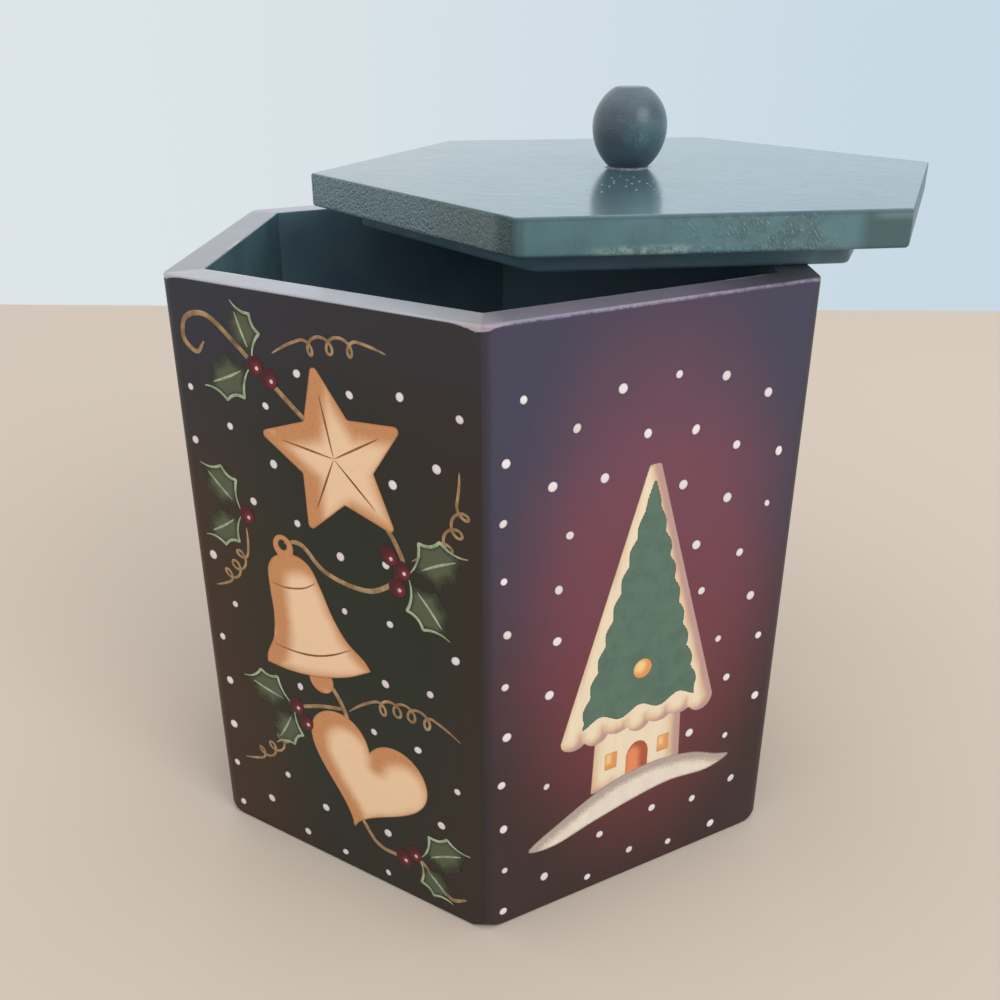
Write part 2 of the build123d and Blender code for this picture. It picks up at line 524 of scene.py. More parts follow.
def knobPaint():
    bench = newPaint("knob paint")
    point = lidPlace(bench, lid["axis"])
    up = bench.dot(point, (0, 0, 1)) - lid["boardTop"]
    cloud = bench.noise(point, 0.14, 3, 0.55)
    fine = bench.noise(point, 1.6, 3, 0.6)
    grain = bench.noise(point, 1.0, 4, 0.65, stretch=(0.5, 0.5, 2.4))
    turned = bench.noise(point, 1.0, 4, 0.65, stretch=(3.2, 3.2, 0.45))  # marks of the lathe
    # rubbed to teal on one cheek, and chipped to white round its foot
    cheek = bench.dot(point, (0.9, -0.43, 0)).rise(3.5, 9.0) * up.rise(4, 9) * up.rise(17, 12)
    shade = bench.layered(
        knob["paint"],
        (cloud.rise(0.35, 0.65), knob["dark"]),
        (grain.rise(0.5, 0.7) * 0.18, knob["grain"]),
        (turned.rise(0.54, 0.7) * 0.22, knob["turned"]),
        # painted sheen, paler towards the top
        (up.rise(15, 22) * 0.3, knob["crown"]),
        (cheek * (0.1 + fine.rise(0.44, 0.58) * 0.75), knob["teal"]),
        ((up + fine * 1.1).rise(0.95, 0.6) * 0.55, knob["chip"]),
    )
    normal = bench.bump((grain, 0.1), (turned, 0.11), (fine, 0.03))
    coat = 0.6 + cloud * 0.2
    return bench.finish(shade, 0.36 + cloud * 0.08, normal, ior=1.45, coat=coat, coatRoughness=0.26)


def steelFinish(kind):
    bench = newPaint(kind + " steel")
    scratch = bench.noise(bench.here(), 2.0, 4, 0.6, stretch=(1.0, 1.0, 5.0))
    return bench.close({
        "Base Color": bench.blend(scratch.rise(0.3, 0.7), steel[kind], steel["scratch"]),
        "Roughness": scratch * 0.2 + 0.3,
        "Metallic": 1.0,
        "Normal": bench.bump((scratch, 0.02)),
    })


dress("lid_board", lidBoardPaint())
dress("lid_insert", insertPaint())
dress("knob", knobPaint())
dress("knob_screw", steelFinish("screw"))
dress("bottom_brads", steelFinish("brad"))
print("lid painted")


# Flat shapes of paint

sunk = 0.03  # how deep the underside of a film lies in the board
tiny = 1e-12  # keeps clear of a division by nothing


def outlineDistance(points, outline):
    # millimetres to the nearest edge of a closed outline, positive inside it
    start = outline
    end = np.roll(outline, -1, axis=0)
    run = end - start
    offset = points[:, None, :] - start[None]
    share = np.clip((offset * run).sum(2) / np.maximum((run * run).sum(1), tiny), 0, 1)
    near = offset - share[..., None] * run
    distance = np.sqrt((near ** 2).sum(2).min(1))
    x, y = points[:, :1], points[:, 1:]
    crosses = (start[:, 1] <= y) != (end[:, 1] <= y)
    rise = np.where(np.abs(run[:, 1]) < tiny, tiny, run[:, 1])
    left = x < start[:, 0] + (y - start[:, 1]) * run[:, 0] / rise
    inside = (crosses & left).sum(1) % 2 == 1
    return np.where(inside, distance, -distance)


def smoothLine(points, steps=10, closed=False):
    # a rounded line through the points
    points = np.array(points, float)
    if closed:
        before, after = np.roll(points, 1, axis=0), np.roll(points, -1, axis=0)
        second = np.roll(points, -2, axis=0)
    else:
        ends = np.vstack([2 * points[0] - points[1], points, 2 * points[-1] - points[-2]])
        before, after, second = ends[:-3], ends[2:-1], ends[3:]
        points = points[:-1]
    made = []
    for p0, p1, p2, p3 in zip(before, points, after, second):
        for t in np.arange(steps) / steps:
            square = (2 * p0 - 5 * p1 + 4 * p2 - p3) * t ** 2
            cube = (3 * p1 - p0 - 3 * p2 + p3) * t ** 3
            made.append(0.5 * (2 * p1 + (p2 - p0) * t + square + cube))
    if not closed:
        made.append(after[-1])
    return np.array(made)


def placed(points, middle=(0, 0), turn=0.0, size=1.0):
    # a shape turned by some degrees about its own middle, and set down
    points = np.array(points, float) * size
    c, s = cos(radians(turn)), sin(radians(turn))
    return points @ np.array([[c, s], [-s, c]]) + np.array(middle, float)


class Shape:
    # an area of paint, as a distance to its edge that is positive inside
    def __init__(self, low, high, distance):
        self.low = np.array(low, float)
        self.high = np.array(high, float)
        self.distance = distance

    def join(self, other):
        low, high = np.minimum(self.low, other.low), np.maximum(self.high, other.high)
        return Shape(low, high, lambda p: np.maximum(self.distance(p), other.distance(p)))

    def less(self, other):
        return Shape(self.low, self.high, lambda p: np.minimum(self.distance(p), -other.distance(p)))


def patch(outline, rounding=0.0):
    # the area inside an outline, grown by rounding, which rounds its corners
    outline = np.array(outline, float)
    low, high = outline.min(0) - rounding, outline.max(0) + rounding
    return Shape(low, high, lambda p: outlineDistance(p, outline) + rounding)


def disc(middle, radius):
    middle = np.array(middle, float)
    return Shape(middle - radius, middle + radius, lambda p: radius - np.hypot(*(p - middle).T))


def film(shape, step, lift, shading=(0.0, 0.0), depth=4.0):
    # A closed film of paint over a shape, on a grid with the given step. Its attributes are the distance to
    # the edge and how near the point lies to the side that shading points to.
    low, high = shape.low - 2 * step, shape.high + 2 * step
    count = np.ceil((high - low) / step).astype(int) + 1
    xs, ys = low[0] + step * np.arange(count[0]), low[1] + step * np.arange(count[1])
    grid = np.stack(np.meshgrid(xs, ys, indexing="ij"), -1).reshape(-1, 2)
    inner = shape.distance(grid)
    least = 0.01 * step
    inner = np.where(np.abs(inner) < least, least, inner)
    points, known, faces = [], {}, []

    def corner(a):
        if a not in known:
            known[a] = len(points)
            points.append(grid[a])
        return known[a]

    def crossing(a, b):
        key = (min(a, b), max(a, b))
        if key not in known:
            known[key] = len(points)
            share = inner[key[0]] / (inner[key[0]] - inner[key[1]])
            points.append(grid[key[0]] + share * (grid[key[1]] - grid[key[0]]))
        return known[key]

    rows = count[1]
    filled = (inner > 0).reshape(count)
    some = filled[:-1, :-1] | filled[1:, :-1] | filled[1:, 1:] | filled[:-1, 1:]
    for i, j in zip(*np.nonzero(some)):
        a = i * rows + j
        ring = (a, a + rows, a + rows + 1, a + 1)
        face = []
        for first, second in zip(ring, ring[1:] + ring[:1]):
            if inner[first] > 0:
                face.append(corner(first))
            if (inner[first] > 0) != (inner[second] > 0):
                face.append(crossing(first, second))
        if len(face) > 2:
            faces.append(face)
    points = np.array(points)
    edge = np.maximum(shape.distance(points), 0)
    side = np.array(shading, float)
    shade = np.zeros(len(points))
    if side.any():
        shade = np.clip(1 - shape.distance(points + side) / depth, 0, 1)
    return {"points": points, "faces": faces, "edge": edge, "shade": shade, "lift": lift}


def filmMesh(name, films):
    # all films of one kind as one mesh, each with a top, an underside inside the board, and walls
    mesh = bmesh.new()
    layers = {key: mesh.verts.layers.float.new(key) for key in ("edge", "shade")}
    for sheet in films:
        tops, feet = [], []
        for side, height in ((tops, sheet["lift"]), (feet, -sunk)):
            for (x, y), edge, shade in zip(sheet["points"], sheet["edge"], sheet["shade"]):
                # the top slopes down towards its edge
                slope = min(1.0, 0.25 + edge / 0.3) if side is tops else 1.0
                vertex = mesh.verts.new((x * mm, y * mm, height * slope * mm))
                vertex[layers["edge"]] = edge
                vertex[layers["shade"]] = shade
                side.append(vertex)
        used = {}
        for face in sheet["faces"]:
            mesh.faces.new([tops[v] for v in face]).smooth = True
            mesh.faces.new([feet[v] for v in reversed(face)])
            used.update(dict.fromkeys(zip(face, face[1:] + face[:1])))
        for first, second in used:
            if (second, first) not in used:
                mesh.faces.new([tops[second], tops[first], feet[first], feet[second]])
    made = bpy.data.meshes.new(name)
    mesh.to_mesh(made)
    mesh.free()
    return made


# Geometry Nodes: brush strokes and snow

dropSegments, dropRings = 12, 6
dropFaces = dropSegments * dropRings


def growTree(name, inputs):
    # a tree with named inputs, the bench to wire it on and what comes in at them
    tree = bpy.data.node_groups.new(name, "GeometryNodeTree")
    tree.interface.new_socket("Geometry", in_out="OUTPUT", socket_type="NodeSocketGeometry")
    tree.interface.new_socket("Geometry", in_out="INPUT", socket_type="NodeSocketGeometry")
    for label, value in inputs.items():
        kind = {int: "NodeSocketInt", float: "NodeSocketFloat"}.get(type(value), "NodeSocketMaterial")
        socket = tree.interface.new_socket(label, in_out="INPUT", socket_type=kind)
        if value is not None:
            socket.default_value = value
    bench = Bench(tree)
    given = {label: bench.node("NodeGroupInput", None, None, label) for label in ("Geometry", *inputs)}
    return tree, bench, given


def endTree(bench, geometry, paint):
    geometry = bench.node("GeometryNodeRealizeInstances", None, {"Geometry": geometry})
    geometry = bench.node("GeometryNodeSetShadeSmooth", None, {"Geometry": geometry})
    geometry = bench.node("GeometryNodeSetMaterial", None, {"Geometry": geometry, "Material": paint})
    bench.node("NodeGroupOutput", None, {0: geometry})


def grown(source, tree, values):
    # the plain mesh that a tree makes of a source mesh
    holder = addObject(source.name, source)
    modifier = holder.modifiers.new(tree.name, "NODES")
    modifier.node_group = tree
    for item in tree.interface.items_tree:
        if item.in_out == "INPUT" and item.name in values:
            modifier[item.identifier] = values[item.name]
    graph = bpy.context.evaluated_depsgraph_get()
    made = bpy.data.meshes.new_from_object(holder.evaluated_get(graph), depsgraph=graph)
    holder.modifiers.remove(modifier)
    bpy.data.objects.remove(holder)
    return made


def strokeTree():
    # draws every edge chain of a mesh as a low stroke of paint that thins out at its ends
    inputs = {"Step": 0.4, "Relief": 0.2, "Taper": 0.2, "Lift": 0.0, "Paint": None}
    tree, bench, given = growTree("brush strokes", inputs)
    line = bench.node("GeometryNodeMeshToCurve", None, {0: given["Geometry"]})
    inputs = {"Curve": line, "Length": given["Step"]}
    line = bench.node("GeometryNodeResampleCurve", {"mode": "LENGTH"}, inputs)
    width = bench.named("width")
    along = bench.node("GeometryNodeSplineParameter")
    ends = (along.lower(1 - along) / given["Taper"]).lower(1.0)
    inputs = {"Resolution": 10, "Radius": 1.0}
    ring = bench.node("GeometryNodeCurvePrimitiveCircle", {"mode": "RADIUS"}, inputs)
    tube = bench.node("GeometryNodeCurveToMesh", None, {
        "Curve": line,
        "Profile Curve": ring,
        "Scale": width * 0.5 * (0.25 + 0.75 * ends ** 0.6),
        "Fill Caps": True,
    })
    tube = bench.node("GeometryNodeTransform", None, {
        "Geometry": tube,
        "Translation": bench.joined(0.0, 0.0, given["Lift"]),
        "Scale": bench.joined(1.0, 1.0, given["Relief"]),
    })
    endTree(bench, tube, given["Paint"])
    return tree


def snowTree():
    # drops of paint strewn over the free part of a mesh
    inputs = {"Apart": 0.01, "Radius": 0.001, "Relief": 0.2, "Seed": 1, "Paint": None}
    tree, bench, given = growTree("snow drops", inputs)
    points = bench.node("GeometryNodeDistributePointsOnFaces", {"distribute_method": "POISSON"}, {
        "Mesh": given["Geometry"],
        "Distance Min": given["Apart"],
        "Density Max": 1e6,
        "Density Factor": bench.named("free"),
        "Seed": given["Seed"],
    })
    ball = {"Segments": dropSegments, "Rings": dropRings, "Radius": 1.0}
    drop = bench.node("GeometryNodeMeshUVSphere", None, ball)
    place = bench.node("GeometryNodeInputPosition")
    flat = bench.node("ShaderNodeVectorMath", {"operation": "MULTIPLY"}, {0: place, 1: (1.0, 1.0, 0.0)})
    shore = bench.node("ShaderNodeVectorMath", {"operation": "LENGTH"}, {0: flat}, 1)
    drop = bench.stored(drop, "shore", shore)

    def chance(low, high, extra):
        inputs = {2: low, 3: high, "Seed": given["Seed"] + extra}
        return bench.node("FunctionNodeRandomValue", {"data_type": "FLOAT"}, inputs, 1)

    size = given["Radius"] * chance(0.8, 1.18, 3)
    drops = bench.node("GeometryNodeInstanceOnPoints", None, {
        "Points": points,
        "Instance": drop,
        "Rotation": bench.joined(0.0, 0.0, chance(-1.2, 1.2, 7)),
        "Scale": bench.joined(size * chance(0.82, 1.05, 5), size, size * given["Relief"]),
    })
    endTree(bench, bench.stored(drops, "tint", chance(0.0, 1.0, 9), "INSTANCE"), given["Paint"])
    return tree


strokesOf, snowOf = strokeTree(), snowTree()


def strokeMesh(name, strokes, values):
    # strokes are pairs of a line and its width
    points, links, widths = [], [], []
    for line, width in strokes:
        first = len(points)
        points += [(x * mm, y * mm, 0.0) for x, y in line]
        links += [(k, k + 1) for k in range(first, len(points) - 1)]
        widths += [width * mm] * len(line)
    source = bpy.data.meshes.new(name)
    source.from_pydata(points, links, [])
    source.attributes.new("width", "FLOAT", "POINT").data.foreach_set("value", widths)
    return grown(source, strokesOf, values)


def onSides(name, flats, facings, material):
    # sets one flat work on each of the given sides, as one piece of the box
    joined = bmesh.new()
    for facing, flat in zip(facings, flats):
        turn = radians(facing)
        c, s = cos(turn), sin(turn)
        reach = box["apothem"] * mm
        copy = flat.copy()
        copy.transform(Matrix(((-s, 0, c, reach * c), (c, 0, s, reach * s), (0, 1, 0, 0), (0, 0, 0, 1))))
        joined.from_mesh(copy)
        bpy.data.meshes.remove(copy)
    made = bpy.data.meshes.new(name)
    joined.to_mesh(made)
    joined.free()
    piece = addPiece(name, made, material)
    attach(piece, "box")


def filmPiece(name, facings, material, shapes, step, lift, depth):
    # shapes are pairs of a shape and the way its shading points
    flat = filmMesh(name, [film(shape, step, lift, shading, depth) for shape, shading in shapes])
    onSides(name, [flat] * len(facings), facings, material)


# The painted ornament of the green sides: a vine with tan shapes and holly

vine = {
    # kind, middle, turn and height of each shape
    "shapes": [
        ("star", (5.0, 129.5), 12.0, 45.0),
        ("bell", (-9.5, 81.0), 14.0, 42.0),
        ("heart", (7.5, 34.0), -14.0, 38.0),
    ],
    "shading": (-2.8, 1.6),
    # middle of a sprig, the turn and length of each leaf, and the places of its berries
    "sprigs": [
        ((-18.0, 149.0), ((204, 18.0), (112, 15.0)), ((0.0, 0.0), (4.4, -2.6))),
        ((25.0, 104.0), ((26, 18.5), (-50, 18.0)), ((-1.0, 0.6), (-4.8, 3.6), (-2.6, -4.4))),
        ((-27.0, 107.0), ((212, 16.5), (140, 17.0)), ((0.8, 0.0),)),
        ((-15.0, 50.5), ((240, 16.5), (168, 18.0)), ((0.0, 0.4), (3.2, -4.0))),
        ((25.0, 15.5), ((26, 18.0), (-44, 14.5)), ((-1.0, 0.8), (-4.6, -2.4))),
    ],
    "leafFoot": 1.6,  # from the middle of its sprig
    "leafWidth": 0.32,  # to each side, as a share of its length
    "leafShading": 1.4,
    "leafEdge": 0.9,  # width of the line along one of its edges
    "leafVein": 0.75,
    "berry": 2.75,
    "berryShading": (-0.7, 0.7),
    "glint": 0.72,
    "glintAside": (0.65, -0.6),
    "starRay": 0.65,
    "bellLines": (0.7, 0.6),  # widths of the lower and the upper one
    "clear": 1.2,  # how far the snow keeps off the line of a stem
    # points and width of each stem
    "stems": [
        (((-34.5, 152.5), (-37.5, 149.5), (-41.5, 152.5), (-40, 158), (-33, 159.5), (-25, 154.5),
          (-18, 149), (3, 133)), 1.4),
        (((15, 120), (22, 112), (24, 104), (14, 96), (0, 97), (-8, 103), (-14, 102)), 1.4),
        (((-7, 68), (0, 60), (3, 54), (4, 48), (9, 42)), 1.4),
        (((2, 56), (-6, 54), (-15, 50.5)), 1.2),
        (((5, 22), (11, 14), (18, 13), (25, 15), (31, 10), (36, 6), (41, 8)), 1.3),
    ],
    # start, end, bulge, loops, loop radius and width of each tendril
    "curls": [
        ((-12, 153), (22, 158), 4.0, 3, 2.1, 0.8),
        ((27, 108), (41, 134), -4.0, 3, 2.0, 0.8),
        ((-27, 103), (-41, 82), 5.0, 3, 2.0, 0.8),
        ((4, 56), (40, 60), 7.0, 4, 2.2, 0.85),
        ((-16, 46), (-38, 24), 5.0, 3, 2.0, 0.8),
    ],
    # step of the grid, height over the board and depth of the shading
    "films": {
        "tan_shapes": (0.5, 0.09, 5.5),
        "holly_leaves": (0.36, 0.1, 3.6),
        "holly_berries": (0.36, 0.13, 2.4),
        "berry_glints": (0.2, 0.16, 4.0),
    },
    # colour, step along the line, relief, tapered share and height over the board
    "strokes": {
        "vine_stems": ("vine", 0.4, 0.08, 0.08, 0.0),
        "leaf_lines": ("leaf line", 0.4, 0.12, 0.35, 0.09),
        "shape_lines": ("brown trim", 0.5, 0.1, 0.4, 0.08),
    },
}
tanShades = {
    "pale": colour(246, 210, 172),
    "deep": colour(206, 145, 98),
    "outline": colour(160, 104, 66),
    "cloud": colour(240, 208, 172),
    "spatter": colour(150, 92, 58),
    "fleck": colour(92, 58, 40),
}
hollyShades = {
    "leaf": colour(54, 62, 46),
    "leafPale": colour(88, 95, 74),
    "berry": colour(118, 44, 52),
    "berryDark": colour(76, 28, 34),
    "berryOutline": colour(52, 24, 26),
}
lineShades = {
    "vine": (colour(180, 149, 110), colour(140, 108, 76)),
    "leaf line": (colour(176, 190, 158), colour(130, 146, 116)),
    "brown trim": (colour(160, 102, 64), colour(128, 78, 48)),
    "glint": (colour(226, 205, 205), colour(205, 180, 182)),
    "crumb": (colour(172, 186, 188), colour(140, 158, 163)),
}


def starShape(middle, turn, height):
    # a star with rounded points, and a line along each of them
    outer, inner = height / 2 - 1.2, height / 4.3
    corners = []
    for k in range(10):
        reach = outer if k % 2 == 0 else inner
        angle = radians(90 + 36 * k)
        corners.append((reach * cos(angle), reach * sin(angle)))
    rays = [placed([(0, 0), (0, height * 0.36)], middle, turn + 72 * k) for k in range(5)]
    return [patch(placed(corners, middle, turn), 1.2)], [(ray, vine["starRay"]) for ray in rays]


def bellShape(middle, turn, height):
    # a bell with its loop, its clapper and two lines round it
    size = height / 33
    half = [(0, 14.2), (3.4, 13.6), (5.9, 11.2), (7.1, 6.5), (8.2, 0.5), (10.3, -5.0), (13.6, -9.0)]
    lip = (14.6, -11.2)
    right = smoothLine(half + [lip], 6)
    foot = smoothLine([lip, (8.0, -13.0), (0, -13.7), (-8.0, -13.0), (-14.6, -11.2)], 6)
    left = right[::-1] * (-1, 1)
    body = patch(placed(np.vstack([right, foot[1:-1], left[:-1]]), middle, turn, size), 0.3)

    def onAxis(up, radius):
        return disc(placed([(0, up)], middle, turn, size)[0], radius * size)

    lower = [(-11.2, -6.6), (-5.5, -8.2), (0, -8.8), (5.5, -8.2), (11.2, -6.6)]
    upper = [(-6.6, 8.2), (-3.3, 7.0), (0, 6.7), (3.3, 7.0), (6.6, 8.2)]
    bands = [(placed(smoothLine(line, 6), middle, turn, size), width)
             for line, width in zip((lower, upper), vine["bellLines"])]
    whole = body.join(onAxis(16.0, 2.7)).less(onAxis(16.4, 1.15))
    return [whole, onAxis(-14.6, 3.3).less(body)], bands


def heartShape(middle, turn, height):
    t = np.linspace(0, 2 * pi, 90, endpoint=False)
    x = 16 * np.sin(t) ** 3
    y = 13 * np.cos(t) - 5 * np.cos(2 * t) - 2 * np.cos(3 * t) - np.cos(4 * t)
    return [patch(placed(np.stack([x, y + 2.5], 1), middle, turn, height / 31), 0.4)], []


def bow(first, last, sag, steps=6):
    # points on a shallow bow from first to last, without the last
    first, last = np.array(first, float), np.array(last, float)
    across = np.array([first[1] - last[1], last[0] - first[0]])
    across = across / hypot(*across)
    share = (np.arange(steps) / steps)[:, None]
    return first + (last - first) * share + across * sag * 4 * share * (1 - share)


def hollyLeaf(start, turn, length):
    # the outline of a leaf with two spines on each side, and the lines of its two sides
    w = vine["leafWidth"]
    upper = [(1.0, 0.0), (0.68, w * 0.95), (0.34, w * 1.12), (0.0, 0.0)]
    lower = [(0.0, 0.0), (0.34, -w * 1.12), (0.68, -w * 0.95), (1.0, 0.0)]
    sides = []
    for corners in (upper, lower):
        line = [bow(a, b, 0.055) for a, b in zip(corners, corners[1:])]
        sides.append(np.vstack(line + [np.array([corners[-1]], float)]))
    outline = np.vstack([sides[0][:-1], sides[1][:-1]])
    return [placed(points, start, turn, length) for points in (outline, sides[0], sides[1])]


def curl(start, end, bulge, loops, radius):
    # a tendril that runs from start to end with some loops in its middle
    start, end = np.array(start, float), np.array(end, float)
    along = (end - start) / hypot(*(end - start))
    across = np.array([-along[1], along[0]])
    share = np.linspace(0, 1, 40 + 40 * loops)
    base = start + np.outer(share, end - start) + np.outer(bulge * 4 * share * (1 - share), across)
    middle = np.clip((share - 0.28) / 0.5, 0, 1)
    angle = 2 * pi * loops * middle
    swing = radius * np.clip(np.minimum(middle, 1 - middle) * 2 * loops, 0, 1)
    return base + np.outer(np.sin(angle) * swing, along) + np.outer((np.cos(angle) - 1) * swing, across)


def nearLine(line, reach):
    # the area that lies near every fourth point of a line
    points = line[::4]

    def distance(p):
        return reach - np.sqrt(((p[:, None] - points[None]) ** 2).sum(2).min(1))

    return Shape(line.min(0), line.max(0), distance)


def newFilm(name):
    # a new paint, the place and the two values that a film carries
    bench = newPaint(name)
    return bench, bench.here(), bench.kept("edge"), bench.kept("shade")


def tanPaint():
    bench, point, edge, shade = newFilm("tan shape paint")
    cloud = bench.noise(point, 0.16, 3, 0.6)
    fleck = bench.noise(point, 1.5, 2, 0.5)
    spatter = bench.noise(point, 2.4, 2, 0.5).rise(0.56, 0.64) * shade.rise(0.25, 0.8)
    tone = bench.layered(
        tanShades["pale"],
        ((shade + cloud * 0.35 - 0.12).rise(0.02, 0.95), tanShades["deep"]),
        (edge.rise(0.6, 0.0) * 0.5, tanShades["outline"]),
        (cloud.rise(0.62, 0.78) * 0.35, tanShades["cloud"]),
        (spatter * 0.28, tanShades["spatter"]),
        (fleck.rise(0.74, 0.78) * 0.75, tanShades["fleck"]),
    )
    brush = bench.noise(point, 1.0, 3, 0.6, stretch=(0.8, 0.8, 4))
    return bench.finish(tone, 0.5 + cloud * 0.08, bench.bump((brush, 0.03)))


def leafPaint():
    bench, point, edge, shade = newFilm("holly leaf paint")
    cloud = bench.noise(point, 0.4, 3, 0.6)
    middle = (edge * 0.4 + cloud * 0.6).rise(0.1, 1.0)
    tone = bench.blend(middle, hollyShades["leaf"], hollyShades["leafPale"])
    cover = edge.rise(0.0, 0.9) * (1 - shade.rise(0.35, 1.0) * 0.6)
    return bench.finish(tone, 0.5 + cloud * 0.05, bench.bump((cloud, 0.02)), cover)


def berryPaint():
    bench, point, edge, shade = newFilm("holly berry paint")
    cloud = bench.noise(point, 0.6, 3, 0.6)
    tone = bench.layered(
        hollyShades["berry"],
        ((shade + cloud * 0.3).rise(0.1, 1.0), hollyShades["berryDark"]),
        (edge.rise(0.5, 0.0) * 0.5, hollyShades["berryOutline"]),
    )
    return bench.finish(tone, 0.42 + cloud * 0.05, bench.bump((cloud, 0.03)))


def linePaint(kind):
    # thin brush lines, a little uneven in colour along their way
    bench = newPaint(kind + " paint")
    point = bench.here()
    patchy = bench.noise(point, 0.35, 3, 0.6)
    streak = bench.noise(point, 2.2, 2, 0.5)
    tone = bench.blend(patchy.rise(0.32, 0.68), *lineShades[kind])
    return bench.finish(tone, 0.48 + streak * 0.08, bench.bump((streak, 0.02)))


tanShapes, trims, greenAreas = [], [], []
makers = {"star": starShape, "bell": bellShape, "heart": heartShape}
for kind, middle, turn, height in vine["shapes"]:
    shapes, lines = makers[kind](middle, turn, height)
    tanShapes += [(shape, vine["shading"]) for shape in shapes]
    trims += lines
    greenAreas.append(shapes[0])

leaves, leafLines, berries, glints = [], [], [], []
for middle, blades, fruit in vine["sprigs"]:
    for k, (turn, length) in enumerate(blades):
        start = np.array(middle) + placed([(vine["leafFoot"], 0.0)], turn=turn)[0]
        outline, left, right = hollyLeaf(start, turn, length)
        crisp, away = (left, radians(turn - 90)) if k % 2 == 0 else (right[::-1], radians(turn + 90))
        reach = vine["leafShading"]
        leaves.append((patch(outline), (reach * cos(away), reach * sin(away))))
        vein = placed(smoothLine([(0.8, 0.0), (0.5, 0.012), (0.2, 0.0)], 6), start, turn, length)
        leafLines += [(crisp, vine["leafEdge"]), (vein, vine["leafVein"])]
        greenAreas.append(patch(outline, 1.0))
    for offset in fruit:
        spot = np.array(middle) + offset
        berries.append((disc(spot, vine["berry"]), vine["berryShading"]))
        glints.append((disc(spot + vine["glintAside"], vine["glint"]), (0.0, 0.0)))

stems = [(smoothLine(points), width) for points, width in vine["stems"]]
stems += [(curl(*form), width) for *form, width in vine["curls"]]
greenAreas += [nearLine(line, vine["clear"]) for line, width in stems]

greenFacings = list(box["greenSides"].values())
for name, paint, shapes in (
    ("tan_shapes", tanPaint(), tanShapes),
    ("holly_leaves", leafPaint(), leaves),
    ("holly_berries", berryPaint(), berries),
    ("berry_glints", linePaint("glint"), glints),
):
    filmPiece(name, greenFacings, paint, shapes, *vine["films"][name])
for name, strokes in (("vine_stems", stems), ("leaf_lines", leafLines), ("shape_lines", trims)):
    kind, step, relief, taper, lift = vine["strokes"][name]
    values = {"Step": step * mm, "Relief": relief, "Taper": taper, "Lift": lift * mm}
    onSides(name, [strokeMesh(name, strokes, values)] * len(greenFacings), greenFacings, linePaint(kind))
print("vine painted")


# The painted ornament of the burgundy sides: a chapel in the snow

chapel = {
    "foot": 34.0,
    "wallHalf": 14.5,
    "wallTop": 60.0,
    "roofHalf": 24.0,
    "roofFoot": 54.0,
    "roofTop": 127.5,
    "scallops": 7,
    "doorHalf": 3.6,
    "doorHeight": 8,
    "doorHead": 4.6,
    "windowAside": 8.6,
    "windowHalf": 1.7,
    "windowFrom": 6.5,  # over the foot of the wall
    "windowTo": 11.5,
    "roofWindow": 3.1,  # its radius
    "roofWindowUp": 16,  # over the foot of the roof
    "bank": ((-34, 22.5), (-24, 28.5), (-10, 35.0), (4, 37.5), (18, 36.0), (28, 32.0), (33, 30.0),
             (25, 27.5), (12, 28.5), (0, 27.0), (-14, 24.0), (-26, 21.0)),
    # the way its shading points, step of the grid, height over the board and depth of the shading
    "films": {
        "chapel_walls": ((1.5, 0.0), 0.5, 0.045, 5.0),
        "chapel_snow": ((1.6, -0.4), 0.5, 0.06, 3.5),
        "chapel_roofs": ((0.0, 0.0), 0.4, 0.08, 4.0),
        "chapel_doors": ((1.5, 0.0), 0.35, 0.065, 3.0),
        "chapel_windows": ((0.8, -0.8), 0.35, 0.1, 2.5),
        "snow_banks": ((-0.5, 1.6), 0.4, 0.09, 4.6),
    },
}
chapelShades = {
    "wall": colour(236, 220, 192),
    "wallDark": colour(212, 172, 134),
    "lavender": colour(168, 136, 150),
    "roof": colour(92, 118, 103),
    "roofDark": colour(84, 109, 96),
    "roofEdge": colour(48, 58, 46),
    "door": colour(228, 138, 96),
    "doorDark": colour(172, 88, 58),
    "window": colour(242, 208, 140),
    "windowDark": colour(222, 152, 92),
    "frame": colour(96, 52, 34),
    "bank": colour(234, 224, 208),
    "bankDark": colour(224, 211, 194),
    "spray": colour(128, 100, 98),
    "bankEdge": colour(176, 156, 156),
}


